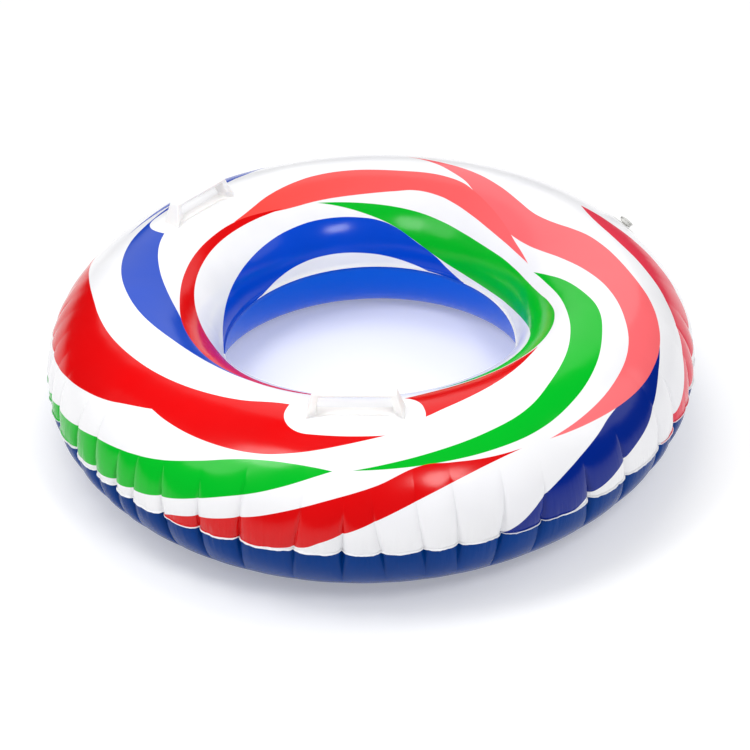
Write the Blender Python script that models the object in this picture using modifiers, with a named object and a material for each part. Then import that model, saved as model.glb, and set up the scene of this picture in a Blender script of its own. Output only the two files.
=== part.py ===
"""Inflatable swim ring: two welded vinyl sheets, two grab handles and a push-in air valve.

Metres, +Z up. The origin is on the ring's axis, at the level it rests on.
Angles round the ring are measured from +X. Angles round the tube are measured
from the outer seam, so 90 degrees is the crest and 180 degrees is the inner seam.
"""
import math

import bmesh
import bpy
from mathutils import Matrix
from mathutils import Vector

# Ring
CENTRELINE_RADIUS = 0.345
TUBE_HALF_WIDTH = 0.1275
TUBE_HALF_HEIGHT = 0.1172
SKIN_THICKNESS = 0.0004
OUTER_LIP = 0.0040
INNER_LIP = 0.0020
SEAM_HALF_GAP = 0.00015
TUBE_STEPS = 13
RING_STEPS = 56

# Grab handles
HANDLE_ANGLES = {"near_handle": math.radians(266.3), "far_handle": math.radians(140.4)}
HANDLE_RADIUS = 0.3345
HANDLE_HEIGHT = 0.033
BASE_LENGTH = 0.127
BASE_DEPTH = 0.031
RAIL_DEPTH = 0.0154
BAR_LENGTH = 0.106
BAR_DEPTH = 0.014
BAR_THICKNESS = 0.0045
BASE_THICKNESS = 0.0035
WINDOW_FOOT_LENGTH = 0.101
WINDOW_HEAD_LENGTH = 0.091
HANDLE_EDGE_ROUND = 0.0014

# Valve, heights measured outwards from the skin along the valve's own axis
VALVE_RING_ANGLE = math.radians(25.0)
VALVE_TUBE_ANGLE = math.radians(40.0)
FLANGE_RADIUS = 0.022
FLANGE_THICKNESS = 0.0010
WELL_RADIUS = 0.0155
WELL_WALL = 0.0009
WELL_DEPTH = 0.0100
SKIN_HOLE_RADIUS = 0.0170
SKIRT_RADIUS = 0.0150
SKIRT_THICKNESS = 0.0010
STEM_RADIUS = 0.0055
STEM_BORE = 0.0039
STEM_FOOT = -0.0012
COLLAR_RADIUS = 0.0090
COLLAR_FOOT = 0.0036
COLLAR_TOP = 0.0079
CAP_RADIUS = 0.0095
CAP_THICKNESS = 0.0026
PLUG_HEAD_RADIUS = 0.0036
PLUG_FOOT_RADIUS = 0.0030
PLUG_LENGTH = 0.0050
STRAP_REACH = 0.0105
STRAP_WIDTH = 0.0060
STRAP_THICKNESS = 0.0015
CAP_HINGE_REACH = 0.0108
TAB_REACH = 0.0125
TAB_WIDTH = 0.0070
FLAP_RADIUS = 0.0048
FLAP_THICKNESS = 0.0008
FLAP_HINGE_REACH = 0.0052
TURNED_STEPS = 32

GAP = 0.0003
MERGE_DISTANCE = 0.00001
CREST_STEP = math.pi / (2 * TUBE_STEPS)
SEAM_HEIGHT = TUBE_HALF_HEIGHT * math.cos(CREST_STEP)
CREST_HEIGHT = 2 * SEAM_HEIGHT

PRINT_WHITE = (0.90, 0.90, 0.92, 1.0)
SHEET_BLUE = (0.01, 0.13, 0.50, 1.0)
SOFT_WHITE = (0.86, 0.84, 0.82, 1.0)
CLEAR_GREY = (0.66, 0.67, 0.64, 1.0)


def clear_objects():
    for item in list(bpy.data.objects):
        bpy.data.objects.remove(item, do_unlink=True)


def new_collection(name):
    collection = bpy.data.collections.new(name)
    bpy.context.scene.collection.children.link(collection)
    return collection


def finish_material(name, colour, roughness):
    material = bpy.data.materials.new(name)
    material.use_nodes = True
    shader = material.node_tree.nodes["Principled BSDF"]
    shader.inputs["Base Color"].default_value = colour
    shader.inputs["Roughness"].default_value = roughness
    shader.inputs["Metallic"].default_value = 0.0
    return material


def add_object(name, mesh, collection):
    item = bpy.data.objects.new(name, mesh)
    collection.objects.link(item)
    return item


def dress(item, colour, roughness):
    item.data.materials.append(finish_material(item.name + "_finish", colour, roughness))
    item.data.shade_smooth()


def mark_as_cutter(item):
    item.hide_render = True
    item.display_type = "WIRE"


def closed_profile(name, points, collection):
    """A closed outline in the XZ plane, ready to be turned about Z."""
    mesh = bpy.data.meshes.new(name)
    count = len(points)
    edges = [(i, (i + 1) % count) for i in range(count)]
    mesh.from_pydata([(x, 0.0, z) for x, z in points], edges, [])
    return add_object(name, mesh, collection)


def add_screw(item, steps):
    screw = item.modifiers.new("turn", "SCREW")
    screw.axis = "Z"
    screw.angle = 2 * math.pi
    screw.steps = steps
    screw.render_steps = steps
    screw.use_merge_vertices = True
    screw.merge_threshold = MERGE_DISTANCE


def turned(name, points, steps, collection):
    item = closed_profile(name, points, collection)
    add_screw(item, steps)
    return item


def baked(item):
    """Replaces an object's mesh by its evaluated mesh and drops its modifiers."""
    graph = bpy.context.evaluated_depsgraph_get()
    mesh = bpy.data.meshes.new_from_object(item.evaluated_get(graph))
    item.modifiers.clear()
    item.data = mesh
    return item


def boolean(item, other, operation):
    modifier = item.modifiers.new(operation.lower(), "BOOLEAN")
    modifier.operation = operation
    modifier.solver = "EXACT"
    modifier.object = other


def block(name, low, high, collection):
    """A box between two corners."""
    solid = bmesh.new()
    bmesh.ops.create_cube(solid, size=1.0)
    low = Vector(low)
    high = Vector(high)
    size = high - low
    bmesh.ops.scale(solid, vec=size, verts=solid.verts)
    bmesh.ops.translate(solid, vec=(low + high) / 2, verts=solid.verts)
    mesh = bpy.data.meshes.new(name)
    solid.to_mesh(mesh)
    solid.free()
    return add_object(name, mesh, collection)


def tapered_block(name, foot, head, low, high, collection):
    """A box whose top is another size than its bottom. foot and head are (length, depth)."""
    item = block(name, (-0.5, -0.5, low), (0.5, 0.5, high), collection)
    middle = (low + high) / 2
    for vertex in item.data.vertices:
        length, depth = head if vertex.co.z > middle else foot
        vertex.co.x *= length
        vertex.co.y *= depth
    return item


def tube_arc(half_width, half_height):
    """The points over the crest between the two seams, from the inner side to the outer side."""
    points = []
    for step in range(1, TUBE_STEPS):
        angle = math.pi - step * math.pi / TUBE_STEPS
        radius = CENTRELINE_RADIUS + half_width * math.cos(angle)
        points.append((radius, half_height * math.sin(angle)))
    return points


def skin_profile():
    """One sheet above the seam plane: inner lip, tube wall and outer lip, then back inside."""
    inner_root = CENTRELINE_RADIUS - TUBE_HALF_WIDTH
    outer_root = CENTRELINE_RADIUS + TUBE_HALF_WIDTH
    low = SEAM_HALF_GAP
    high = SEAM_HALF_GAP + SKIN_THICKNESS
    outside = tube_arc(TUBE_HALF_WIDTH, TUBE_HALF_HEIGHT)
    inside = tube_arc(TUBE_HALF_WIDTH - SKIN_THICKNESS, TUBE_HALF_HEIGHT - SKIN_THICKNESS)
    points = [(inner_root - INNER_LIP, low), (inner_root - INNER_LIP, high), (inner_root, high)]
    points += outside
    points += [(outer_root, high), (outer_root + OUTER_LIP, high), (outer_root + OUTER_LIP, low)]
    points += [(outer_root - SKIN_THICKNESS, low)]
    points += reversed(inside)
    points += [(inner_root + SKIN_THICKNESS, low)]
    return points


def make_skins(collection):
    upper_points = [(radius, SEAM_HEIGHT + z) for radius, z in skin_profile()]
    lower_points = [(radius, SEAM_HEIGHT - z) for radius, z in reversed(skin_profile())]
    upper = turned("upper_skin", upper_points, RING_STEPS, collection)
    lower = turned("lower_skin", lower_points, RING_STEPS, collection)
    dress(upper, PRINT_WHITE, 0.22)
    dress(lower, SHEET_BLUE, 0.25)
    return upper


def handle_frame(angle):
    """Local +X runs along the bar, +Y towards the ring's axis and +Z up from the crest."""
    along = Vector((-math.sin(angle), math.cos(angle), 0.0))
    inward = Vector((-math.cos(angle), -math.sin(angle), 0.0))
    origin = Vector((HANDLE_RADIUS * math.cos(angle), HANDLE_RADIUS * math.sin(angle), CREST_HEIGHT))
    frame = Matrix((along, inward, Vector((0.0, 0.0, 1.0)))).transposed().to_4x4()
    frame.translation = origin
    return frame


def rail_cutter(name, angle, side, cutters):
    """What is cut from one side of the bottom rail between the feet. side is -1 or 1."""
    half_window = WINDOW_FOOT_LENGTH / 2
    levels = sorted((side * RAIL_DEPTH / 2, side * BASE_DEPTH))
    low = (-half_window, levels[0], 0.0)
    high = (half_window, levels[1], BASE_THICKNESS + HANDLE_EDGE_ROUND)
    cutter = block(name + "_rail_cut", low, high, cutters)
    cutter.matrix_world = handle_frame(angle)
    mark_as_cutter(cutter)
    return cutter


def make_handle(name, angle, parts, cutters):
    """A one-piece moulding: bottom rail, two tapered legs with wide feet and a bar, round a window."""
    foot = (BASE_LENGTH, BASE_DEPTH)
    head = (BAR_LENGTH, BAR_DEPTH)
    body = tapered_block(name, foot, head, GAP, HANDLE_HEIGHT, parts)
    rounding = body.modifiers.new("edges", "BEVEL")
    rounding.width = HANDLE_EDGE_ROUND
    rounding.segments = 2
    window_foot = (WINDOW_FOOT_LENGTH, 2 * BASE_DEPTH)
    window_head = (WINDOW_HEAD_LENGTH, 2 * BASE_DEPTH)
    low = BASE_THICKNESS
    high = HANDLE_HEIGHT - BAR_THICKNESS
    window = tapered_block(name + "_window", window_foot, window_head, low, high, cutters)
    window_rounding = window.modifiers.new("edges", "BEVEL")
    window_rounding.width = HANDLE_EDGE_ROUND
    window_rounding.segments = 2
    body.matrix_world = handle_frame(angle)
    window.matrix_world = handle_frame(angle)
    mark_as_cutter(window)
    boolean(body, window, "DIFFERENCE")
    for side in (-1, 1):
        boolean(body, rail_cutter(name, angle, side, cutters), "DIFFERENCE")
    dress(body, SOFT_WHITE, 0.5)


def valve_frame():
    """Local +Z is the skin's outward normal, +X runs along the tube and +Y up its side."""
    ring_cos = math.cos(VALVE_RING_ANGLE)
    ring_sin = math.sin(VALVE_RING_ANGLE)
    radius = CENTRELINE_RADIUS + TUBE_HALF_WIDTH * math.cos(VALVE_TUBE_ANGLE)
    height = SEAM_HEIGHT + TUBE_HALF_HEIGHT * math.sin(VALVE_TUBE_ANGLE)
    slope_out = TUBE_HALF_HEIGHT * math.cos(VALVE_TUBE_ANGLE)
    slope_up = TUBE_HALF_WIDTH * math.sin(VALVE_TUBE_ANGLE)
    normal = Vector((slope_out * ring_cos, slope_out * ring_sin, slope_up)).normalized()
    along = Vector((-ring_sin, ring_cos, 0.0))
    across = normal.cross(along)
    frame = Matrix((along, across, normal)).transposed().to_4x4()
    frame.translation = Vector((radius * ring_cos, radius * ring_sin, height))
    return frame


def place_on_axis(item, axis_point, anchor):
    """Moves the object's origin to a point in the valve's frame and parents it to the anchor."""
    item.data.transform(Matrix.Translation(-Vector(axis_point)))
    item.parent = anchor
    item.location = axis_point


def make_skin_hole(upper, anchor, cutters):
    points = [(0.0, WELL_DEPTH), (SKIN_HOLE_RADIUS, WELL_DEPTH)]
    points += [(SKIN_HOLE_RADIUS, -WELL_DEPTH), (0.0, -WELL_DEPTH)]
    mesh = bpy.data.meshes.new("skin_hole")
    mesh.from_pydata([(x, 0.0, z) for x, z in points], [(0, 1), (1, 2), (2, 3)], [])
    hole = add_object("skin_hole", mesh, cutters)
    add_screw(hole, TURNED_STEPS)
    hole.parent = anchor
    mark_as_cutter(hole)
    boolean(upper, hole, "DIFFERENCE")


def make_valve_base(parts, anchor):
    """The welded flange and the wall of the well that the stem is pushed into."""
    top = GAP + FLANGE_THICKNESS
    wall = WELL_RADIUS + WELL_WALL
    points = [(WELL_RADIUS, top), (FLANGE_RADIUS, top), (FLANGE_RADIUS, GAP), (wall, GAP)]
    points += [(wall, -WELL_DEPTH), (WELL_RADIUS, -WELL_DEPTH)]
    base = turned("valve_base", points, TURNED_STEPS, parts)
    base.parent = anchor
    dress(base, CLEAR_GREY, 0.3)


def make_valve_stem(parts, cutters, anchor):
    """The soft skirt, the stem with its bore, and the collar with the lug for the cap's strap."""
    skirt_foot = -SKIRT_THICKNESS / 2
    skirt_top = SKIRT_THICKNESS / 2
    points = [(STEM_BORE, COLLAR_TOP), (COLLAR_RADIUS, COLLAR_TOP), (COLLAR_RADIUS, COLLAR_FOOT)]
    points += [(STEM_RADIUS, COLLAR_FOOT), (STEM_RADIUS, skirt_top), (SKIRT_RADIUS, skirt_top)]
    points += [(SKIRT_RADIUS, skirt_foot), (STEM_RADIUS, skirt_foot), (STEM_RADIUS, STEM_FOOT)]
    points += [(STEM_BORE, STEM_FOOT)]
    stem = turned("valve_stem", points, TURNED_STEPS, parts)
    half = STRAP_WIDTH / 2
    root = STEM_RADIUS + GAP
    lug = block("collar_lug", (root, -half, COLLAR_FOOT), (STRAP_REACH, half, COLLAR_TOP), cutters)
    lug.parent = anchor
    stem.parent = anchor
    mark_as_cutter(lug)
    boolean(stem, lug, "UNION")
    dress(stem, CLEAR_GREY, 0.3)


def make_valve_cap(parts, cutters, anchor):
    """The cap with its tapered plug, its pull tab and the strap that ends at the hinge line."""
    low = COLLAR_TOP + GAP
    high = low + CAP_THICKNESS
    plug_foot = low - PLUG_LENGTH
    points = [(0.0, high), (CAP_RADIUS, high), (CAP_RADIUS, low), (PLUG_HEAD_RADIUS, low)]
    points += [(PLUG_FOOT_RADIUS, plug_foot), (0.0, plug_foot)]
    mesh = bpy.data.meshes.new("valve_cap")
    edges = [(i, i + 1) for i in range(len(points) - 1)]
    mesh.from_pydata([(x, 0.0, z) for x, z in points], edges, [])
    cap = add_object("valve_cap", mesh, parts)
    add_screw(cap, TURNED_STEPS)
    baked(cap)
    top = low + STRAP_THICKNESS
    half = STRAP_WIDTH / 2
    strap = block("cap_strap", (0.0, -half, low), (STRAP_REACH, half, top), cutters)
    tab = block("cap_tab", (-TAB_REACH, -TAB_WIDTH / 2, low), (0.0, TAB_WIDTH / 2, top), cutters)
    hinge = (CAP_HINGE_REACH, 0.0, COLLAR_TOP + GAP / 2)
    place_on_axis(cap, hinge, anchor)
    for piece in (strap, tab):
        piece.parent = anchor
        mark_as_cutter(piece)
        boolean(cap, piece, "UNION")
    dress(cap, CLEAR_GREY, 0.3)


def make_valve_flap(parts, cutters, anchor):
    """The thin check flap under the stem's bore, with the tongue that it bends on."""
    high = STEM_FOOT - GAP
    low = high - FLAP_THICKNESS
    points = [(0.0, high), (FLAP_RADIUS, high), (FLAP_RADIUS, low), (0.0, low)]
    mesh = bpy.data.meshes.new("valve_flap")
    mesh.from_pydata([(x, 0.0, z) for x, z in points], [(0, 1), (1, 2), (2, 3)], [])
    flap = add_object("valve_flap", mesh, parts)
    add_screw(flap, TURNED_STEPS)
    baked(flap)
    half = FLAP_RADIUS / 2
    tongue = block("flap_tongue", (0.0, -half, low), (FLAP_HINGE_REACH, half, high), cutters)
    tongue.parent = anchor
    mark_as_cutter(tongue)
    place_on_axis(flap, (FLAP_HINGE_REACH, 0.0, high), anchor)
    boolean(flap, tongue, "UNION")
    dress(flap, CLEAR_GREY, 0.4)


def build():
    clear_objects()
    parts = new_collection("swim_ring")
    cutters = new_collection("cutters")
    upper = make_skins(parts)
    for name, angle in HANDLE_ANGLES.items():
        make_handle(name, angle, parts, cutters)
    anchor = add_object("valve_anchor", None, parts)
    anchor.matrix_world = valve_frame()
    make_skin_hole(upper, anchor, cutters)
    make_valve_base(parts, anchor)
    make_valve_stem(parts, cutters, anchor)
    make_valve_cap(parts, cutters, anchor)
    make_valve_flap(parts, cutters, anchor)


build()
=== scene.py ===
import math
import random

import bmesh
import bpy
import numpy as np
from mathutils import Matrix
from mathutils import Vector
from mathutils import noise


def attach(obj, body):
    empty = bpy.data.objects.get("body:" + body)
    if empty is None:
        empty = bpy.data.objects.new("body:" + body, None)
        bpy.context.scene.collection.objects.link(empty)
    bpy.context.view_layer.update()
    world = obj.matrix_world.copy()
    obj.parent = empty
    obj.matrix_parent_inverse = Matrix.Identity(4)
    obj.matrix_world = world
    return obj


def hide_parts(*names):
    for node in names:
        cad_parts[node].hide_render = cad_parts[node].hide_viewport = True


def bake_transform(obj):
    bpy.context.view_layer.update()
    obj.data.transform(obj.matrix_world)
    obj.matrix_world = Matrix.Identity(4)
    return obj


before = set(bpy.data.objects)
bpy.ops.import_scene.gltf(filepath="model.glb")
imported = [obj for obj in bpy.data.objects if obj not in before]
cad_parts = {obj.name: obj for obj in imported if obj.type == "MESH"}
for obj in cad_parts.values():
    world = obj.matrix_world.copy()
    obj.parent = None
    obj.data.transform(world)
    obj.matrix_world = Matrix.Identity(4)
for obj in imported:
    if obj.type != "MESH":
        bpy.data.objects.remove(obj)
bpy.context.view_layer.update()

# Metres, +Z up. Angles round the ring are measured from +X, and angles round the
# tube from the outer seam: 90 is the crest and 180 the inner seam.
RING_RADIUS = 0.345
TUBE_WIDE = 0.1275
TUBE_HIGH = 0.1172
SEAM_Z = 0.116345
CREST_Z = 0.232691
FLOOR_CLEARANCE = 0.0002

# Camera
CAMERA_LENS = 74.30
CAMERA_SENSOR = 36.0
CAMERA_DISTANCE = 2.3039
CAMERA_ELEVATION = math.radians(33.808)
CAMERA_ROLL = math.radians(2.0353)
CAMERA_PAN = -0.002307
CAMERA_TILT = 0.021685

# Folds along the outer seam: where they are, in degrees round the ring
FOLDS_NEAR = (191, 196, 202, 210.5, 217.5, 223, 227.5, 234, 241, 248, 257, 264.5, 270.5, 277,
              282.5, 289.5, 296.5, 306, 314.5, 324.5, 331, 341)
FOLD_PITCH = 6.7
FOLD_SEED = 7
FOLD_COLUMNS = 26
FOLD_DEPTHS = (0.0042, 0.0080)
FOLD_REACH_UP = (22.0, 46.0)
FOLD_REACH_DOWN = (26.0, 42.0)
FOLD_LEAN = 1.6
FOLD_SCATTER = 1.3
UP = 2
DOWN = 3
LOWER_FOLDS = 1.35
LOWER_LEAN = -0.6
UPPER_ROWS = 58
LOWER_ROWS = 52

OUTER_LIP = 0.0018
LIP_DROOP = 0.0012
INNER_LIP = 0.0020
LIP_HALF = 0.00030

# Grab handles
HANDLES = {"near_handle": 266.3, "far_handle": 140.4}
HANDLE_RADIUS = 0.3345
HANDLE_FOOT_DEPTH = 0.0155
HANDLE_RAIL_DEPTH = 0.0077
HANDLE_BAR_DEPTH = 0.0085
HANDLE_SUNK = 0.0026
HANDLE_TOP = 0.0342
WINDOW_FLOOR = 0.0030
WINDOW_TOP = 0.0290
HANDLE_EDGE = 0.0011
LEG_FOOT = 0.002
LEG_CLIMB = 0.0290

# Valve
VALVE_RING_ANGLE = math.radians(25.0)
VALVE_TUBE_ANGLE = math.radians(40.0)
FLANGE_RADIUS = 0.0220
HOLE_RADIUS = 0.0182
STRAP_HALF_WIDTH = 0.0033
STRAP_HALF_THICKNESS = 0.0007

WHITE = (0.83, 0.83, 0.845)
RED = (0.64, 0.002, 0.003)
CORAL = (0.87, 0.062, 0.048)
# Coral ink with a painted reflection: a paler pink standing in for the glare on the coral bands
CORAL_PAINTED_SHEEN = (0.88, 0.135, 0.150)
ROSE = (0.72, 0.040, 0.075)
GREEN = (0.000, 0.440, 0.018)
BLUE = (0.008, 0.058, 0.450)
NAVY = (0.000, 0.016, 0.220)
DEEP_BLUE = (0.000, 0.056, 0.540)
SHEET_BLUE = (0.000, 0.040, 0.225)
# Painted light: a much brighter copy of the sheet's blue, standing in for the light on the wall
# inside the hole
SHEET_BLUE_PAINTED_LIT = (0.000, 0.105, 0.660)
SHEET_BLUE_DARK = (0.000, 0.036, 0.200)
WHITE_GREY = (0.81, 0.81, 0.84)

# Studio
WORLD_STRENGTH = 0.52
FLOOR_HALF = 80
FLOOR_GLOW = 0.28
AIM_HEIGHT = 0.15

# The printed bands. Each has the tube angle of its inner edge and of its outer edge
# at places round the ring; both edges meet at a band's tip or end below a seam.
# A point marked "corner" is a sharp one; the edge is smooth through the others.
BANDS = (
    ("right_green", GREEN,
     ((286, 119), (300, 121.5), (310, 123), (320, 127), (330, 134.5), (340, 145), (350, 155),
      (360, 163), (370, 169), (380, 172.7), (395, 175), (410, 172), (420, 166.5), (430, 157.5),
      (440, 147), (450, 138.5), (460, 130.5), (467, 125.5)),
     ((286, 119), (292, 118), (310, 116), (320, 115.5), (330, 117.5), (340, 122.5), (350, 131),
      (360, 139.5), (370, 144.5), (380, 146.3), (390, 146.5), (400, 146), (410, 143.5),
      (420, 139.5), (430, 135.5), (440, 132.5), (450, 130), (467, 125.5))),
    ("far_blue", DEEP_BLUE,
     ((46, 182), (61, 181), (70, 176.5), (80, 172), (90, 169), (107, 167), (120, 169),
      (130, 173.5), (140, 180), (150, 184), (186, 184)),
     ((46, 181), (55, 173), (60, 167), (70, 157.5), (80, 147), (85, 143.5), (90, 141.5),
      (107, 139), (120, 141), (130, 144.5), (140, 149), (150, 154), (160, 159.5), (170, 166),
      (178, 172), (186, 182))),
    ("near_red_wedge", RED,
     ((272, 106), (278, 110), (285, 114.5), (290, 116), (300, 116.5), (310, 115.5), (321, 114.5)),
     ((272, 79), (280.5, 85), (285, 89.5), (290, 93.5), (300, 100.5), (310, 107.5), (315, 111),
      (321, 114.5))),
    ("near_green", GREEN,
     ((266, 52), (270, 54.5), (280, 60), (290, 65), (300, 71), (310, 82), (320, 92.5),
      (330, 103.5), (340, 114), (350, 123), (360, 131), (365, 134), (372, 137.5)),
     ((266, 52), (280, 53), (290, 53.8), (300, 56.2), (310, 63), (320, 72), (330, 82.5),
      (340, 93), (350, 108), (360, 122), (365, 129), (372, 137.5))),
    ("left_green", GREEN,
     ((184, -1), (188, 3), (195, 7), (200, 12), (210, 19), (217, 25), (225, 30), (232, 35.5),
      (240, 44.5), (246, 51), (250, 53.5), (255, 54.3), (260, 53.2), (263, 51.5)),
     ((184, -4), (203, -3), (208, 0), (220, 4), (225, 6.5), (230, 10), (235, 14.5), (240, 20.5),
      (245, 27), (250, 33), (255, 40), (260, 47.5), (263, 51.5))),
    ("near_red", RED,
     ((234.2, -1), (236, 3.6), (241, 9.5), (248, 16.5), (257, 27.5), (262, 34), (270, 43),
      (278, 53), (283, 52.2), (288, 50.7), (296, 49.8)),
     ((234.2, -3), (243, -1), (252, 0.4), (258, 2.5), (262, 9), (268, 19), (275, 30.5), (280, 37.5),
      (285, 43), (290, 47), (296, 49.8))),
    ("right_navy", NAVY,
     ((289, -1), (291.5, 4), (294, 10), (297, 18), (300, 24), (305, 31.5), (310, 38), (315, 44),
      (325, 47), (337, 48.5)),
     ((289, -3), (300, -2), (305, 3), (308, 6), (313, 12), (316, 16.5), (322, 24), (325, 30),
      (330, 39), (335, 46), (337, 48.5))),
    # Coral ink painted as the pale pink of a painted reflection along the whole band
    ("right_coral", CORAL_PAINTED_SHEEN,
     ((301, 49), (310, 52.3), (320, 57.5), (330, 65), (340, 77.5), (350, 91), (360, 105),
      (370, 117), (380, 126), (385, 128.5), (390, 129.5), (394, 129), (405, 120), (415, 109.5),
      (420, 101), (425, 94), (430, 86), (435, 79), (440, 73.5)),
     ((301, 49), (310, 46.5), (320, 44.3), (325, 44), (330, 45), (337, 48.5), (345, 57),
      (350, 64), (355, 71.5), (360, 77.5), (370, 86.5), (375, 91), (380, 97), (385, 102.5),
      (390, 105.5), (394, 106), (400, 103.5), (410, 96), (420, 87.5), (430, 80.5), (440, 73.5))),
    ("far_coral", CORAL,
     ((17, 137), (25, 137.5), (30, 137), (40, 134.5), (50, 129.5), (60, 123), (65, 120),
      (74, 118), (80, 120), (90, 122.5), (107, 124.4), (115, 125.3), (120, 124.8), (130, 121.5),
      (137, 119.5)),
     ((17, 137), (25, 134), (30, 131.5), (34, 128.5), (45, 119), (55, 109), (60, 103.5),
      (65, 100.5), (70, 99), (80, 99), (95, 98), (105, 100), (110, 102.5), (120, 109),
      (130, 116.5), (137, 119.5))),
    ("left_blue", BLUE,
     ((112, 62), (125, 76), (156, 94), (160, 96.5), (165, 100.5), (170, 105), (175, 109.5),
      (180, 114), (185, 118), (190, 121.3), (195, 123.2), (210, 122), (250, 117.5)),
     ((112, 62), (141, 70), (150, 73), (160, 75), (165, 77), (170, 79.5), (175, 82.5), (180, 86),
      (185, 89.7), (190, 93.3), (195, 97), (200, 101), (205, 105), (210, 108.5), (220, 113),
      (230, 115.5), (250, 117.5))),
    ("hole_red", RED,
     ((118, 124.3), (140, 125.8), (150, 127.3), (160, 129.7), (170, 132.5), (180, 135.8),
      (190, 139.5), (200, 142.5), (207, 143.5), (213, 141), (220, 135.5), (230, 127),
      (240, 122.5), (252, 121), (262, 119)),
     ((118, 124.3), (125, 122), (135, 119.7), (150, 120.3), (160, 121.5), (170, 123),
      (185, 124.2), (195, 123), (210, 120.5), (220, 118), (230, 117), (253, 117), (262, 119))),
    ("far_blue_sliver", BLUE,
     ((97, -1), (102, 22), (112, 58), (118, 70), (124, 74.5), (130, 72), (142, 69), (150, 67.8),
      (158, 66.3)),
     ((97, -3), (107, 12), (112, 36), (120, 45), (130, 55), (142, 62.5), (150, 65.5),
      (158, 66.3))),
    ("left_red", RED,
     ((130, -1), (132, 3), (140, 15), (155, 35), (165, 47), (170, 53), (175, 59), (184, 67),
      (190, 70), (200, 74), (210, 78), (220, 81.5), (230, 85.5), (240, 90.5), (251, 97.5),
      (261, 92), (273, 74.6)),
     ((130, -3), (150, -2), (158, 3), (165, 8), (175, 16), (186, 25), (195, 30), (200, 34),
      (210, 43), (215, 48), (220, 54.2), (225.5, 60.3, "corner"), (230, 58.2), (240, 56),
      (250, 57), (255, 60), (260, 64), (265, 68.4), (273, 74.6))),
    ("right_red", ROSE,
     ((325, -1), (328, 1), (331, 6), (335, 14), (340, 25), (345, 36), (350, 46), (355, 54),
      (360, 61.5), (365, 67.5), (370, 72.5), (375, 75.5), (380, 77), (385, 76), (390, 72)),
     ((325, -3), (338, -2), (342, 1), (345, 5), (350, 14), (355, 24), (360, 33), (365, 42),
      (370, 51), (375, 58), (380, 64), (385, 68), (390, 72))),
    ("near_inner_blue", NAVY,
     ((205, 181), (225, 181), (240, 176), (260, 165), (280, 154), (300, 145), (312, 141)),
     ((205, 180), (220, 165), (240, 152), (260, 144), (280, 140), (300, 139), (312, 141))),
    ("far_outer_green", GREEN,
     ((60, -1), (70, 18), (85, 36), (105, 47), (122, 50)),
     ((60, -3), (76, -2), (88, 12), (105, 33), (122, 50))),
    ("far_outer_red", RED,
     ((20, -1), (28, 5), (35, 18), (45, 30), (60, 45), (74, 53), (86, 55)),
     ((20, -3), (36, -2), (48, 10), (62, 28), (74, 43), (86, 55))),
)

# White patches left under the handles: the ring angle and tube angle of each centre
RESERVES = ((266.15, 93.0), (140.4, 93.0))
RESERVE_HALF_LENGTH = 0.0905
RESERVE_HALF_WIDTH = 0.0405
RESERVE_CORNER = 0.0370
TUBE_MEAN_RADIUS = 0.1225

# A band's edge fades over this many degrees; its curve holds tube angles from low to low + span
EDGE_SOFTNESS = 0.16
CURVE_LOW = -10.0
CURVE_SPAN = 200.0
RESERVE_SOFTNESS = 0.0004


# ---------------------------------------------------------------- small helpers

def link(item):
    bpy.context.scene.collection.objects.link(item)
    return item


def mesh_object(name, verts, faces, smooth=True):
    mesh = bpy.data.meshes.new(name)
    mesh.from_pydata([tuple(v) for v in verts], [], faces)
    mesh.update()
    if smooth:
        mesh.shade_smooth()
    return link(bpy.data.objects.new(name, mesh))


def grid_faces(rows, columns, wrap_columns=True, flip=False):
    """Quads of a grid whose vertex index is row * columns + column."""
    faces = []
    last = columns if wrap_columns else columns - 1
    for i in range(rows - 1):
        for j in range(last):
            k = (j + 1) % columns
            quad = (i * columns + j, i * columns + k, (i + 1) * columns + k, (i + 1) * columns + j)
            faces.append(tuple(reversed(quad)) if flip else quad)
    return faces


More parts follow.
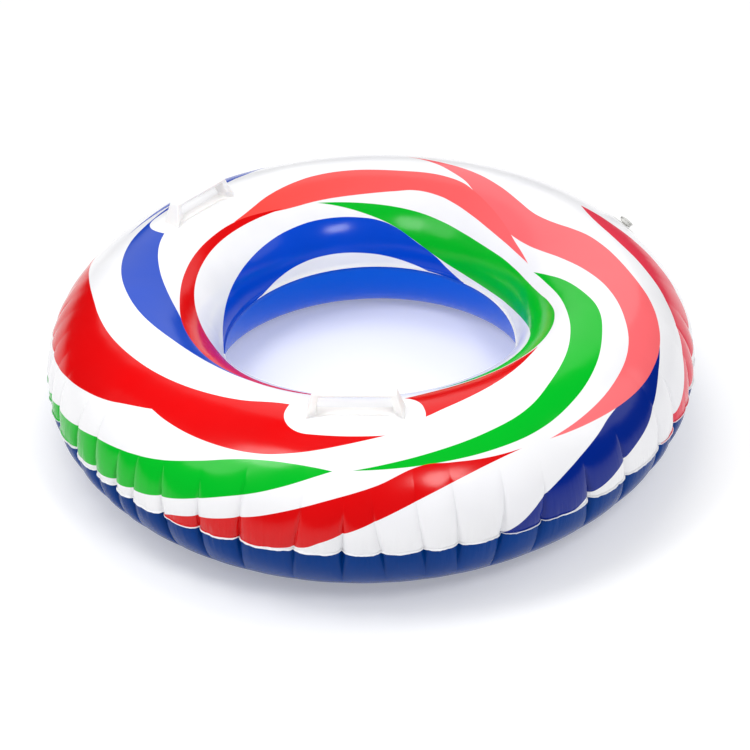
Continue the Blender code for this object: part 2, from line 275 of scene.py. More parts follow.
class Nodes:
    """A short way to write a node tree."""

    def __init__(self, name):
        self.material = bpy.data.materials.new(name)
        self.material.use_nodes = True
        self.tree = self.material.node_tree
        self.shader = self.tree.nodes["Principled BSDF"]

    def add(self, kind, **settings):
        node = self.tree.nodes.new(kind)
        for key, value in settings.items():
            setattr(node, key, value)
        return node

    def join(self, source, target):
        self.tree.links.new(source, target)

    def feed(self, socket, value):
        if isinstance(value, bpy.types.NodeSocket):
            self.join(value, socket)
        else:
            socket.default_value = value

    def math(self, operation, a, b=0.0, c=0.0, clamp=False):
        node = self.add("ShaderNodeMath", operation=operation, use_clamp=clamp)
        for socket, value in zip(node.inputs, (a, b, c)):
            self.feed(socket, value)
        return node.outputs[0]

    def curve(self, value, points):
        node = self.add("ShaderNodeFloatCurve")
        curve = node.mapping.curves[0]
        while len(curve.points) < len(points):
            curve.points.new(0.5, 0.5)
        for slot, (x, y, corner) in zip(curve.points, points):
            slot.location = (x, y)
            slot.handle_type = "VECTOR" if corner else "AUTO"
        node.mapping.use_clip = False
        node.mapping.update()
        self.feed(node.inputs["Value"], value)
        return node.outputs[0]

    def mix(self, factor, a, b):
        node = self.add("ShaderNodeMix", data_type="RGBA")
        self.feed(node.inputs[0], factor)
        for socket, value in ((node.inputs[6], a), (node.inputs[7], b)):
            self.feed(socket, value if isinstance(value, bpy.types.NodeSocket) else (*value, 1.0))
        return node.outputs[2]

    def noise(self, vector, scale, detail=3.0, rough=0.5):
        node = self.add("ShaderNodeTexNoise")
        node.inputs["Scale"].default_value = scale
        node.inputs["Detail"].default_value = detail
        node.inputs["Roughness"].default_value = rough
        if vector is not None:
            self.join(vector, node.inputs["Vector"])
        return node.outputs["Fac"]

    def spread(self, value, low, high, to_low, to_high):
        node = self.add("ShaderNodeMapRange")
        self.feed(node.inputs[0], value)
        for socket, number in zip(node.inputs[1:5], (low, high, to_low, to_high)):
            self.feed(socket, number)
        return node.outputs[0]

    def combine(self, x, y, z):
        node = self.add("ShaderNodeCombineXYZ")
        for socket, value in zip(node.inputs, (x, y, z)):
            self.feed(socket, value)
        return node.outputs[0]

    def bump(self, height, strength, distance, previous=None):
        node = self.add("ShaderNodeBump")
        node.inputs["Strength"].default_value = strength
        node.inputs["Distance"].default_value = distance
        self.join(height, node.inputs["Height"])
        if previous is not None:
            self.join(previous, node.inputs["Normal"])
        return node.outputs[0]

    def fix(self, **values):
        for key, value in values.items():
            self.shader.inputs[key.replace("_", " ")].default_value = value

    def output(self, **sources):
        for key, source in sources.items():
            self.join(source, self.shader.inputs[key.replace("_", " ")])


# ---------------------------------------------------------------- the tube's shape

def fold_table():
    """Each fold's ring angle, depth, reach up and down the tube, and lean."""
    draw = random.Random(FOLD_SEED)
    angles = list(FOLDS_NEAR)
    first = FOLDS_NEAR[0] + 360.0
    room = first - FOLDS_NEAR[-1]
    count = round(room / FOLD_PITCH)
    for i in range(1, count):
        angles.append(FOLDS_NEAR[-1] + room * i / count
                      + draw.uniform(-FOLD_SCATTER, FOLD_SCATTER))
    folds = []
    for angle in angles:
        folds.append((angle, draw.uniform(*FOLD_DEPTHS), draw.uniform(*FOLD_REACH_UP),
                      draw.uniform(*FOLD_REACH_DOWN), draw.uniform(-FOLD_LEAN, FOLD_LEAN)))
    return folds


def column_places():
    """Positions between two folds, closer together near the folds."""
    half = FOLD_COLUMNS // 2
    places = [0.5 * (i / half) ** 1.9 for i in range(half)]
    places += [1.0 - 0.5 * ((FOLD_COLUMNS - i) / half) ** 1.9 for i in range(half, FOLD_COLUMNS)]
    return places


def fade(x, power):
    return np.clip(1.0 - x, 0.0, 1.0) ** power


def crease(distance, depth, reach, phi):
    """Depth of one fold at an angular distance from it, with a sharp line and soft shoulders."""
    share = phi / reach
    narrow = 0.40 * (0.30 + 0.70 * fade(share, 1.0))
    wide = 1.7 * (0.40 + 0.60 * fade(share, 1.0))
    sharp = np.exp(-(distance / narrow) ** 1.4)
    soft = np.exp(-(distance / wide) ** 1.3)
    return depth * fade(share, 1.0) * (0.66 * sharp + 0.62 * soft)


def ring_noise(theta, scale, seed):
    """Smooth noise round the ring, from -1 to 1."""
    out = np.empty(theta.shape)
    flat = theta.ravel()
    for i, angle in enumerate(flat):
        out.flat[i] = noise.noise((scale * math.cos(angle), scale * math.sin(angle), seed))
    return out


def skin_surface(phis, reach_index):
    """The ring angle and the outward push of every row and column of a sheet, for tube
    angles phis counted from the outer seam. reach_index is UP or DOWN in the fold table."""
    folds = fold_table()
    count = len(folds)
    places = np.array(column_places())
    phi = np.array(phis)[:, None, None]
    draw = random.Random(FOLD_SEED + 1)
    minor = np.array([(draw.uniform(0.3, 0.7), draw.uniform(0.0006, 0.0021), draw.uniform(6, 17))
                      for _ in folds])
    angle = np.array([f[0] for f in folds])
    depth = np.array([f[1] for f in folds]) * (1.0 if reach_index == UP else LOWER_FOLDS)
    reach = np.array([f[reach_index] for f in folds])
    lean = np.array([f[4] for f in folds]) * (1.0 if reach_index == UP else LOWER_LEAN)
    bend = np.sin(np.pi * np.clip(phi / 90.0, 0.0, 1.0))
    following = np.roll(angle, -1) + np.where(np.arange(count) == count - 1, 360.0, 0.0)
    a = angle[None, :, None] + lean[None, :, None] * bend
    b = following[None, :, None] + np.roll(lean, -1)[None, :, None] * bend
    s = places[None, None, :]
    theta = a + (b - a) * s
    pitch = b - a
    left = crease(s * pitch, depth[None, :, None], reach[None, :, None], phi)
    right = crease((1 - s) * pitch, np.roll(depth, -1)[None, :, None],
                   np.roll(reach, -1)[None, :, None], phi)
    place = minor[:, 0][None, :, None]
    small = minor[:, 1][None, :, None] * fade(phi / minor[:, 2][None, :, None], 1.2)
    small = small * np.exp(-(np.abs(s - place) * pitch / 0.62) ** 1.4)
    pillow = 0.0021 * np.sin(np.pi * s) ** 0.8 * fade(phi / 48.0, 1.5)
    flute = 0.0007 * np.sin(np.pi * s) * fade(phi / 85.0, 1.2)
    push = pillow + flute - left - right - small
    shape = (len(phis), count * FOLD_COLUMNS)
    return np.radians(theta.reshape(shape)), push.reshape(shape)


def tube_point(theta, phi, push, side):
    """World position on the tube. side is 1 for the upper sheet and -1 for the lower one."""
    width = TUBE_WIDE * np.cos(phi)
    height = TUBE_HIGH * np.sin(phi)
    slope_r = TUBE_HIGH * np.cos(phi)
    slope_z = TUBE_WIDE * np.sin(phi)
    length = np.hypot(slope_r, slope_z)
    radius = RING_RADIUS + width + push * slope_r / length
    z = SEAM_Z + side * (height + push * slope_z / length)
    return np.stack([radius * np.cos(theta), radius * np.sin(theta), z], -1)


def valve_frame():
    ring = VALVE_RING_ANGLE
    tube = VALVE_TUBE_ANGLE
    radius = RING_RADIUS + TUBE_WIDE * math.cos(tube)
    z = SEAM_Z + TUBE_HIGH * math.sin(tube)
    out = TUBE_HIGH * math.cos(tube)
    up = TUBE_WIDE * math.sin(tube)
    normal = Vector((out * math.cos(ring), out * math.sin(ring), up)).normalized()
    along = Vector((-math.sin(ring), math.cos(ring), 0.0))
    across = normal.cross(along)
    matrix = Matrix((along, across, normal)).transposed().to_4x4()
    matrix.translation = Vector((radius * math.cos(ring), radius * math.sin(ring), z))
    return matrix


def settle_under_valve(points):
    """The sheet lies flat under the valve's flange and swells back to the tube round it."""
    matrix = np.array(valve_frame())
    local = (points - matrix[:3, 3]) @ matrix[:3, :3]
    distance = np.hypot(local[..., 0], local[..., 1])
    near = (distance < 0.060) & (local[..., 2] > -0.05)
    share = np.clip((distance - FLANGE_RADIUS - 0.001) / 0.020, 0.0, 1.0)
    share = share * share * (3 - 2 * share)
    level = 0.00012 * (1 - share) + local[..., 2] * share
    local[..., 2] = np.where(near, level, local[..., 2])
    return local @ matrix[:3, :3].T + matrix[:3, 3]


def seam_rise(theta):
    """How far the outer seam wanders up and down."""
    return 0.0016 * ring_noise(theta, 9.0, 3.1) + 0.0007 * ring_noise(theta, 30.0, 8.7)


def skin_rows(count):
    """Tube angles from the outer seam to the inner one, closer together near the outer one."""
    return [180.0 * (i / count) ** 1.22 for i in range(count + 1)]


def make_skin(name, side, rows, reach_index):
    phis = skin_rows(rows)
    theta, push = skin_surface(phis, reach_index)
    phi = np.radians(np.array(phis))[:, None]
    points = tube_point(theta, phi, push, side)
    rise = seam_rise(theta[0])
    fall = np.exp(-np.degrees(phi) / 11.0)
    points[..., 2] += rise[None, :] * fall
    if side > 0:
        points = settle_under_valve(points)
    else:
        points[..., 2] = np.maximum(points[..., 2], FLOOR_CLEARANCE)
    lips = outer_lip(theta[0], points[0], side)
    inner = inner_lip(theta[-1], points[-1], side)
    stack = np.concatenate([lips[0], points, inner[0]])
    angles = np.concatenate([lips[1], theta, inner[1]])
    tube = np.concatenate([lips[2], np.broadcast_to(np.degrees(phi), theta.shape), inner[2]])
    columns = theta.shape[1]
    faces = grid_faces(len(stack), columns, flip=side > 0)
    stack = stack.reshape(-1, 3)
    if side > 0:
        faces, stack = open_valve_hole(faces, stack)
    item = mesh_object(name, stack, faces)
    store_place(item, angles.ravel(), tube.ravel())
    return item


def outer_lip(theta, root, side):
    """The welded strip beyond the outer seam: its face, its edge and its welded side."""
    out = np.stack([np.cos(theta), np.sin(theta), 0 * theta], -1)
    ripple = 0.0010 * ring_noise(theta, 60.0, 1.7) + 0.0008 * ring_noise(theta, 140.0, 5.2)
    width = OUTER_LIP * (1 + 0.18 * ring_noise(theta, 190.0, 9.9))
    rows = []
    for share, lift in ((1.0, 0.0), (1.0, 0.8), (0.94, 1.0), (0.5, 1.0), (0.12, 1.0)):
        row = root + out * (width * share)[:, None]
        row[:, 2] += (ripple - LIP_DROOP * share) * share + side * LIP_HALF * lift
        rows.append(row)
    rows = np.stack(rows)
    levels = np.array([-3.0, -2.9, -2.8, -1.6, -0.5])[:, None] + 0 * theta
    return rows, np.broadcast_to(theta, levels.shape), levels


def inner_lip(theta, root, side):
    out = np.stack([np.cos(theta), np.sin(theta), 0 * theta], -1)
    rows = []
    for share, lift in ((0.15, 1.0), (0.6, 1.0), (0.96, 1.0), (1.0, 0.0)):
        row = root - out * (INNER_LIP * share)
        row[:, 2] += side * LIP_HALF * lift
        rows.append(row)
    rows = np.stack(rows)
    levels = np.array([180.4, 181.0, 181.6, 182.0])[:, None] + 0 * theta
    return rows, np.broadcast_to(theta, levels.shape), levels


def open_valve_hole(faces, points):
    """The sheet's faces without those over the well, and its points with a round edge there."""
    matrix = np.array(valve_frame())
    local = (points - matrix[:3, 3]) @ matrix[:3, :3]
    reach = np.hypot(local[:, 0], local[:, 1])
    inside = (reach < HOLE_RADIUS) & (np.abs(local[:, 2]) < 0.02)
    kept = [f for f in faces if not all(inside[i] for i in f)]
    local[inside, :2] *= (HOLE_RADIUS / reach[inside])[:, None]
    return kept, local @ matrix[:3, :3].T + matrix[:3, 3]


def store_place(item, theta, phi):
    """Each point keeps its place on the flat print: the cosine and sine of its ring angle,
    and its tube angle as a share of 180 degrees."""
    layer = item.data.attributes.new("place", "FLOAT_VECTOR", "POINT")
    values = np.stack([np.cos(theta), np.sin(theta), phi / 180.0], -1)
    layer.data.foreach_set("vector", values.astype(np.float32).ravel())


# ---------------------------------------------------------------- materials

def place_on_tube(n):
    """Ring angle (-180 to 180) and tube angle in degrees, and the stored place itself."""
    attribute = n.add("ShaderNodeAttribute", attribute_name="place")
    split = n.add("ShaderNodeSeparateXYZ")
    n.join(attribute.outputs["Vector"], split.inputs[0])
    turn = n.math("ARCTAN2", split.outputs[1], split.outputs[0])
    degrees = n.math("MULTIPLY", turn, 180.0 / math.pi)
    tube = n.math("MULTIPLY", split.outputs[2], 180.0)
    return degrees, tube, attribute.outputs["Vector"]


def band_mask(n, degrees, tube, inner, outer):
    start = inner[0][0]
    span = inner[-1][0] - start
    turned = n.math("MULTIPLY", n.math("SUBTRACT", degrees, float(start)), 1.0 / 360.0)
    along = n.math("MULTIPLY", n.math("FRACT", turned), 360.0 / span)

    def edge(points):
        shares = [((p[0] - start) / span, (p[1] - CURVE_LOW) / CURVE_SPAN, len(p) > 2)
                  for p in points]
        return n.math("MULTIPLY_ADD", n.curve(along, shares), CURVE_SPAN, CURVE_LOW)

    above = n.math("SUBTRACT", tube, edge(outer))
    below = n.math("SUBTRACT", edge(inner), tube)
    nearest = n.math("MINIMUM", above, below)
    inside = n.math("LESS_THAN", along, 1.0)
    mask = n.math("MULTIPLY", nearest, 1.0 / EDGE_SOFTNESS, clamp=True)
    return n.math("MULTIPLY", mask, inside), along


def reserve_mask(n, degrees, tube, centre, level):
    turned = n.math("MULTIPLY", n.math("SUBTRACT", degrees, centre - 180.0), 1.0 / 360.0)
    offset = n.math("SUBTRACT", n.math("FRACT", turned), 0.5)
    x = n.math("MULTIPLY", n.math("ABSOLUTE", offset), 2 * math.pi * RING_RADIUS)
    y = n.math("MULTIPLY", n.math("ABSOLUTE", n.math("SUBTRACT", tube, level)),
               math.radians(TUBE_MEAN_RADIUS))
    dx = n.math("MAXIMUM", n.math("SUBTRACT", x, RESERVE_HALF_LENGTH - RESERVE_CORNER), 0.0)
    dy = n.math("MAXIMUM", n.math("SUBTRACT", y, RESERVE_HALF_WIDTH - RESERVE_CORNER), 0.0)
    reach = n.math("SQRT", n.math("ADD", n.math("MULTIPLY", dx, dx), n.math("MULTIPLY", dy, dy)))
    inside = n.math("SUBTRACT", RESERVE_CORNER, reach)
    return n.math("MULTIPLY", inside, 1.0 / RESERVE_SOFTNESS, clamp=True)


def seam_wrinkles(n, vector, tube):
    """Fine puckers that run away from the outer seam, and the sheet's own slight unevenness."""
    mapping = n.add("ShaderNodeMapping")
    mapping.inputs["Scale"].default_value = (70.0, 70.0, 5.0)
    n.join(vector, mapping.inputs["Vector"])
    pucker = n.noise(mapping.outputs[0], 1.0, 2.0, 0.5)
    near = n.spread(n.math("ABSOLUTE", tube), 0.0, 34.0, 1.0, 0.0)
    near = n.math("POWER", near, 2.0)
    height = n.math("MULTIPLY", n.math("SUBTRACT", pucker, 0.5), near)
    broad = n.noise(vector, 6.0, 1.0, 0.4)
    normal = n.bump(height, 0.55, 0.004)
    return n.bump(broad, 0.14, 0.006, normal)


def printed_material():
    n = Nodes("printed_vinyl")
    degrees, tube, vector = place_on_tube(n)
    tint = n.noise(vector, 3.0, 3.0)
    colour = n.mix(n.spread(tint, 0.35, 0.7, 0.0, 1.0), WHITE, WHITE_GREY)
    ink = n.spread(n.noise(vector, 4.0, 1.5), 0.2, 0.8, 0.95, 1.03)
    for name, shade, inner, outer in BANDS:
        mask, along = band_mask(n, degrees, tube, inner, outer)
        # Painted reflection: the far coral band fades from the pale pink sheen at its start to the
        # plain coral ink at its end
        if name == "far_coral":
            shade = n.mix(along, CORAL_PAINTED_SHEEN, CORAL)
        colour = n.mix(mask, colour, shade)
    printed = colour
    for centre, level in RESERVES:
        mask = reserve_mask(n, degrees, tube, centre, level)
        printed = n.mix(mask, printed, WHITE)
    lip = n.spread(tube, -2.4, -1.2, 0.8, 0.0)
    printed = n.mix(lip, printed, (0.80, 0.82, 0.86))
    shaded = n.add("ShaderNodeHueSaturation")
    n.join(printed, shaded.inputs["Color"])
    n.join(ink, shaded.inputs["Value"])
    rough = n.spread(n.noise(vector, 6.0, 1.0), 0.2, 0.8, 0.15, 0.20)
    n.output(Base_Color=shaded.outputs[0], Roughness=rough,
             Normal=seam_wrinkles(n, vector, tube))
    n.fix(IOR=1.46, Specular_IOR_Level=0.30)
    return n.material


def sheet_material():
    n = Nodes("blue_vinyl")
    tube, vector = place_on_tube(n)[1:]
    tint = n.spread(n.noise(vector, 4.0, 4.0), 0.3, 0.7, 0.0, 1.0)
    colour = n.mix(tint, SHEET_BLUE, SHEET_BLUE_DARK)
    # Painted light: the blue brightens from the bottom towards the inner seam, as if the wall
    # inside the hole were lit
    colour = n.mix(n.spread(tube, 70.0, 130.0, 0.0, 1.0), colour, SHEET_BLUE_PAINTED_LIT)
    lip = n.spread(tube, -0.9, -0.5, 0.5, 0.0)
    colour = n.mix(lip, colour, (0.02, 0.22, 0.62))
    rough = n.spread(n.noise(vector, 8.0, 1.0), 0.3, 0.7, 0.20, 0.26)
    n.output(Base_Color=colour, Roughness=rough, Normal=seam_wrinkles(n, vector, tube))
    n.fix(IOR=1.46, Specular_IOR_Level=0.07)
    return n.material


def handle_material():
    n = Nodes("moulded_white")
    place = n.add("ShaderNodeTexCoord").outputs["Object"]
    tint = n.spread(n.noise(place, 30.0, 4.0), 0.3, 0.7, 0.0, 1.0)
    colour = n.mix(tint, (0.92, 0.905, 0.895), (0.89, 0.875, 0.865))
    rough = n.spread(n.noise(place, 180.0, 3.0), 0.3, 0.7, 0.38, 0.52)
    grain = n.bump(n.noise(place, 1400.0, 2.0), 0.12, 0.0002)
    flow = n.bump(n.noise(place, 60.0, 2.0), 0.12, 0.0010, grain)
    n.output(Base_Color=colour, Roughness=rough, Normal=flow)
    n.fix(Subsurface_Weight=0.10, Subsurface_Radius=(0.004, 0.003, 0.0025), IOR=1.47)
    return n.material


def valve_material():
    n = Nodes("cloudy_vinyl")
    place = n.add("ShaderNodeTexCoord").outputs["Object"]
    cloud = n.spread(n.noise(place, 160.0, 4.0), 0.3, 0.7, 0.0, 1.0)
    colour = n.mix(cloud, (0.64, 0.64, 0.62), (0.76, 0.76, 0.74))
    rough = n.spread(n.noise(place, 500.0, 3.0), 0.3, 0.7, 0.22, 0.36)
    n.output(Base_Color=colour, Roughness=rough,
             Normal=n.bump(n.noise(place, 900.0, 2.0), 0.15, 0.0002))
    n.fix(Transmission_Weight=0.10, IOR=1.46, Subsurface_Weight=0.3,
          Subsurface_Radius=(0.004, 0.004, 0.004))
    return n.material


# ---------------------------------------------------------------- handles

def rounded_outline(corners, arc_steps, side_steps):
    """A closed outline through rounded corners. corners are (x, z, radius), anticlockwise."""
    points = []
    count = len(corners)
    for i in range(count):
        corner = Vector(corners[i][:2])
        before = (Vector(corners[i - 1][:2]) - corner).normalized()
        after = (Vector(corners[(i + 1) % count][:2]) - corner).normalized()
        half = before.angle(after) / 2
        radius = corners[i][2]
        centre = corner + (before + after).normalized() * (radius / math.sin(half))
        start = corner + before * (radius / math.tan(half)) - centre
        end = corner + after * (radius / math.tan(half)) - centre
        sweep = start.angle_signed(end)
        for k in range(arc_steps + 1):
            turn = Matrix.Rotation(-sweep * k / arc_steps, 2)
            points.append(centre + turn @ start)
        following = corners[(i + 1) % count]
        end = centre + end
        nxt = Vector(following[:2])
        back = (corner - nxt).normalized()
        ahead = (Vector(corners[(i + 2) % count][:2]) - nxt).normalized()
        stop = nxt + back * (following[2] / math.tan(back.angle(ahead) / 2))
        for k in range(1, side_steps):
            points.append(end.lerp(stop, k / side_steps))
    return points


def handle_half_depth(x, z):
    """Half the moulding's depth: wide at the two feet, narrow along the rail and the bar."""
    climb = min(max((z - LEG_FOOT) / LEG_CLIMB, 0.0), 1.0)
    leg = HANDLE_FOOT_DEPTH * (1 - climb) + HANDLE_BAR_DEPTH * climb
    outward = min(max((abs(x) - 0.0485) / 0.0060, 0.0), 1.0)
    outward = outward * outward * (3 - 2 * outward)
    low = min(max((0.012 - z) / 0.006, 0.0), 1.0)
    share = 1 - (1 - outward) * low
    return HANDLE_RAIL_DEPTH * (1 - share) + leg * share


def make_handle(name, degrees, material):
    """One moulding: a base that is welded flat, two tapered legs and a bar, round a window."""
    outer = rounded_outline(((-0.0638, -HANDLE_SUNK, 0.0005), (0.0638, -HANDLE_SUNK, 0.0005),
                             (0.0530, HANDLE_TOP, 0.0026), (-0.0530, HANDLE_TOP, 0.0026)), 6, 16)
    inner = rounded_outline(((-0.0505, WINDOW_FLOOR, 0.0028), (0.0505, WINDOW_FLOOR, 0.0028),
                             (0.0455, WINDOW_TOP, 0.0026), (-0.0455, WINDOW_TOP, 0.0026)), 6, 16)
    ring = []
    edge = HANDLE_EDGE
    for a, b in zip(outer, inner):
        gap = b - a
        length = gap.length
        step = gap / length
        depth_a = handle_half_depth(a.x, a.y)
        depth_b = handle_half_depth(b.x, b.y)
        section = []
        for side in (-1, 1):
            spots = ((0.0, edge * 1.9), (0.12 * edge, edge * 1.0), (0.55 * edge, 0.35 * edge),
                     (1.4 * edge, 0.0), (length * 0.5, -0.0002), (length - 1.4 * edge, 0.0),
                     (length - 0.55 * edge, 0.35 * edge), (length - 0.12 * edge, edge),
                     (length, edge * 1.9))
            row = []
            for run, inset in spots:
                depth = depth_a + (depth_b - depth_a) * run / length
                spot = a + step * run
                row.append((spot.x, side * (depth - inset), spot.y))
            section += row if side < 0 else reversed(row)
        ring.append(section)
    size = len(ring[0])
    verts = [p for section in ring for p in section]
    faces = []
    for i in range(len(ring)):
        k = (i + 1) % len(ring)
        for j in range(size):
            m = (j + 1) % size
            faces.append((i * size + j, k * size + j, k * size + m, i * size + m))
    item = mesh_object(name + "_moulding", verts, faces)
    smooth = item.modifiers.new("smooth", "SUBSURF")
    smooth.levels = 1
    smooth.render_levels = 1
    angle = math.radians(degrees)
    along = Vector((-math.sin(angle), math.cos(angle), 0.0))
    inward = Vector((-math.cos(angle), -math.sin(angle), 0.0))
    matrix = Matrix((along, inward, Vector((0, 0, 1)))).transposed().to_4x4()
    matrix.translation = Vector((HANDLE_RADIUS * math.cos(angle),
                                 HANDLE_RADIUS * math.sin(angle), CREST_Z))
    item.matrix_world = matrix
    item.data.materials.append(material)
    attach(item, "ring")
    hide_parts(name)
    return item


# ---------------------------------------------------------------- valve

def face_outward(item, merge=0.0):
    """Turn a closed piece's faces outward, after merging points closer than merge."""
    bm = bmesh.new()
    bm.from_mesh(item.data)
    if merge:
        bmesh.ops.remove_doubles(bm, verts=bm.verts, dist=merge)
    bmesh.ops.recalc_face_normals(bm, faces=bm.faces)
    bm.to_mesh(item.data)
    bm.free()


def round_edges(item, width, segments):
    rounding = item.modifiers.new("edges", "BEVEL")
    rounding.width = width
    rounding.segments = segments


def turned_object(name, profile, steps, closed):
    """A profile of (radius, height) turned about the valve's axis."""
    verts = []
    for k in range(steps):
        turn = 2 * math.pi * k / steps
        for radius, height in profile:
            verts.append((radius * math.cos(turn), radius * math.sin(turn), height))
    size = len(profile)
    last = size if closed else size - 1
    faces = []
    for k in range(steps):
        m = (k + 1) % steps
        for j in range(last):
            i = (j + 1) % size
            faces.append((k * size + j, m * size + j, m * size + i, k * size + i))
    item = mesh_object(name, verts, faces)
    face_outward(item, merge=1e-6)
    item.data.shade_smooth()
    return item


def make_valve(material):
    matrix = valve_frame()
    flange = turned_object("valve_flange", (
        (0.0155, -0.0095), (0.0155, 0.0006), (0.0157, 0.0012), (0.0163, 0.0016),
        (0.0172, 0.0016), (0.0178, 0.0012), (0.0186, 0.0009), (0.0205, 0.0009),
        (0.0212, 0.0012), (0.0217, 0.0010), (0.0220, 0.0005), (0.0220, 0.0002),
        (0.0164, 0.0001), (0.0164, -0.0095)), 96, True)
    stem = turned_object("valve_stem_soft", (
        (0.0039, 0.0080), (0.0088, 0.0080), (0.0092, 0.0078), (0.0094, 0.0074),
        (0.0094, 0.0043), (0.0092, 0.0037), (0.0087, 0.0034), (0.0062, 0.0033),
        (0.0057, 0.0032), (0.0055, 0.0026), (0.0058, 0.0018), (0.0068, 0.0012),
        (0.0085, 0.0008), (0.0120, 0.0006), (0.0144, 0.0007), (0.0150, 0.0002),
        (0.0149, -0.0004), (0.0140, -0.0006), (0.0070, -0.0006), (0.0055, -0.0009),
        (0.0050, -0.0012), (0.0039, -0.0012)), 80, True)
    cap = turned_object("valve_cap_soft", (
        (0.0, 0.0103), (0.0030, 0.0104), (0.0052, 0.0107), (0.0060, 0.0111), (0.0078, 0.0112),
        (0.0088, 0.0110), (0.0095, 0.0104), (0.0096, 0.0092), (0.0096, 0.0084), (0.0092, 0.0081),
        (0.0036, 0.0082), (0.0035, 0.0060), (0.0033, 0.0040), (0.0029, 0.0033), (0.0, 0.0032)),
        80, False)
    tab = slab("valve_cap_tab", ((-0.0088, -0.0033), (-0.0122, -0.0031), (-0.0128, 0.0),
                                 (-0.0122, 0.0031), (-0.0088, 0.0033)), 0.0083, 0.0097)
    strap = make_strap()
    pieces = ((flange, "ring", "valve_base"), (stem, "stem", "valve_stem"),
              (cap, "cap", "valve_cap"))
    for piece, body, node in pieces:
        piece.matrix_world = matrix
        piece.data.materials.append(material)
        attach(piece, body)
        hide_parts(node)
    tab.matrix_world = matrix
    tab.data.materials.append(material)
    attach(tab, "cap")
    strap.matrix_world = matrix
    strap.data.materials.append(material)
    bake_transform(strap)
    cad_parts["valve_flap"].data.materials.clear()
    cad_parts["valve_flap"].data.materials.append(material)


def slab(name, outline, low, high):
    """A flat outline of (x, y) points made solid between two heights, with rounded edges."""
    count = len(outline)
    verts = [(x, y, low) for x, y in outline] + [(x, y, high) for x, y in outline]
    faces = [tuple(reversed(range(count))), tuple(range(count, 2 * count))]
    for i in range(count):
        k = (i + 1) % count
        faces.append((i, k, count + k, count + i))
    item = mesh_object(name, verts, faces)
    face_outward(item)
    round_edges(item, 0.0004, 3)
    return item


def make_strap():
    """The soft strap between collar and cap: a short loop that stands out sideways."""
    line = ((0.0084, 0.0064), (0.0105, 0.0062), (0.0126, 0.0064), (0.0137, 0.0070),
            (0.0141, 0.0081), (0.0137, 0.0092), (0.0126, 0.0098), (0.0105, 0.0099),
            (0.0088, 0.0097))
    verts = []
    for i, (x, z) in enumerate(line):
        ahead = Vector(line[min(i + 1, len(line) - 1)]) - Vector(line[max(i - 1, 0)])
        side = Vector((-ahead.y, ahead.x)).normalized()
        side = side * STRAP_HALF_THICKNESS
        for y in (-STRAP_HALF_WIDTH, STRAP_HALF_WIDTH):
            verts.append((x + side.x, y, z + side.y))
        for y in (STRAP_HALF_WIDTH, -STRAP_HALF_WIDTH):
            verts.append((x - side.x, y, z - side.y))
    faces = []
    for i in range(len(line) - 1):
        for j in range(4):
            k = (j + 1) % 4
            faces.append((i * 4 + j, (i + 1) * 4 + j, (i + 1) * 4 + k, i * 4 + k))
    last = 4 * (len(line) - 1)
    faces.append((0, 1, 2, 3))
    faces.append((last + 3, last + 2, last + 1, last))
    item = mesh_object("valve_cap_strap", verts, faces)
    face_outward(item)
    round_edges(item, 0.0003, 2)
    return item


# ---------------------------------------------------------------- scene

def make_camera():
    e = CAMERA_ELEVATION
    back = Vector((0.0, -math.cos(e), math.sin(e)))
    base = Matrix((Vector((1, 0, 0)), back.cross(Vector((1, 0, 0))), back)).transposed()
    own = (Matrix.Rotation(CAMERA_ROLL, 3, "Z") @ Matrix.Rotation(CAMERA_TILT, 3, "X")
           @ Matrix.Rotation(-CAMERA_PAN, 3, "Y"))
    matrix = (base @ own.transposed()).to_4x4()
    matrix.translation = back * CAMERA_DISTANCE + Vector((0, 0, SEAM_Z))
    data = bpy.data.cameras.new("camera")
    data.lens = CAMERA_LENS
    data.sensor_width = CAMERA_SENSOR
    camera = link(bpy.data.objects.new("camera", data))
    camera.matrix_world = matrix
    bpy.context.scene.camera = camera


def softbox(name, place, size, power, mirrored=True):
    """An area light turned to the middle of the ring. It lights the ring and isn't seen itself."""
    data = bpy.data.lights.new(name, "AREA")
    data.shape = "ELLIPSE"
    data.size, data.size_y = size
    data.energy = power
    light = link(bpy.data.objects.new(name, data))
    light.location = place
    away = Vector(place) - Vector((0.0, 0.0, AIM_HEIGHT))
    light.rotation_euler = away.to_track_quat("Z", "Y").to_euler()
    light.visible_camera = False
    light.visible_glossy = mirrored


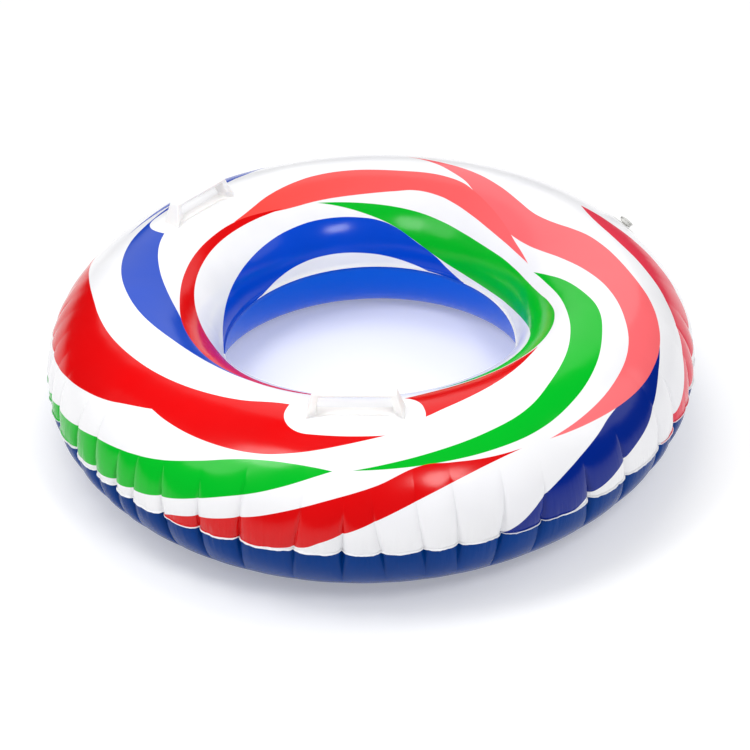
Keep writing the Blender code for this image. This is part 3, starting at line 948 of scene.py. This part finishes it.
def make_surroundings():
    """A plain pale floor and soft light. The world and the overhead light are kept out of the
    gloss, so the highlights come from the other softboxes only."""
    scene = bpy.context.scene
    scene.view_settings.view_transform = "Standard"
    world = bpy.data.worlds.new("studio")
    world.use_nodes = True
    background = world.node_tree.nodes["Background"]
    background.inputs[0].default_value = (1.0, 1.0, 1.0, 1.0)
    background.inputs[1].default_value = WORLD_STRENGTH
    world.cycles_visibility.glossy = False
    scene.world = world
    softbox("front_right", (0.52, -1.20, 1.38), (0.38, 0.44), 5.8)
    softbox("near_left", (-0.44, -0.48, 1.02), (0.34, 0.42), 3.0)
    softbox("high_left", (-1.55, -0.85, 1.85), (0.90, 1.30), 9.0)
    softbox("overhead", (0.0, 0.05, 1.75), (0.9, 0.9), 6.0, mirrored=False)
    softbox("back", (0.0, 3.0, 2.2), (5.0, 2.4), 34.0)
    softbox("right", (2.6, 0.0, 2.0), (2.0, 2.0), 15.0)
    softbox("left", (-2.6, 0.0, 2.0), (2.0, 2.0), 3.0)
    half = FLOOR_HALF
    corners = ((-half, -half, 0), (half, -half, 0), (half, half, 0), (-half, half, 0))
    floor = mesh_object("floor", corners, [(0, 1, 2, 3)])
    n = Nodes("floor_paper")
    place = n.add("ShaderNodeTexCoord").outputs["Object"]
    tint = n.spread(n.noise(place, 1.5, 2.0), 0.3, 0.7, 0.0, 1.0)
    n.output(Base_Color=n.mix(tint, (0.80, 0.80, 0.80), (0.78, 0.78, 0.78)))
    n.fix(Roughness=0.9, Specular_IOR_Level=0.0, Emission_Color=(1.0, 1.0, 1.0, 1.0),
          Emission_Strength=FLOOR_GLOW)
    floor.data.materials.append(n.material)


make_camera()
upper = make_skin("upper_sheet", 1, UPPER_ROWS, UP)
lower = make_skin("lower_sheet", -1, LOWER_ROWS, DOWN)
upper.data.materials.append(printed_material())
lower.data.materials.append(sheet_material())
for skin, node, finish in ((upper, "upper_skin", "printed_sheet"),
                           (lower, "lower_skin", "blue_sheet")):
    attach(skin, "ring")
    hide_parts(node)
soft_white = handle_material()
for handle, degrees in HANDLES.items():
    make_handle(handle, degrees, soft_white)
make_valve(valve_material())
make_surroundings()
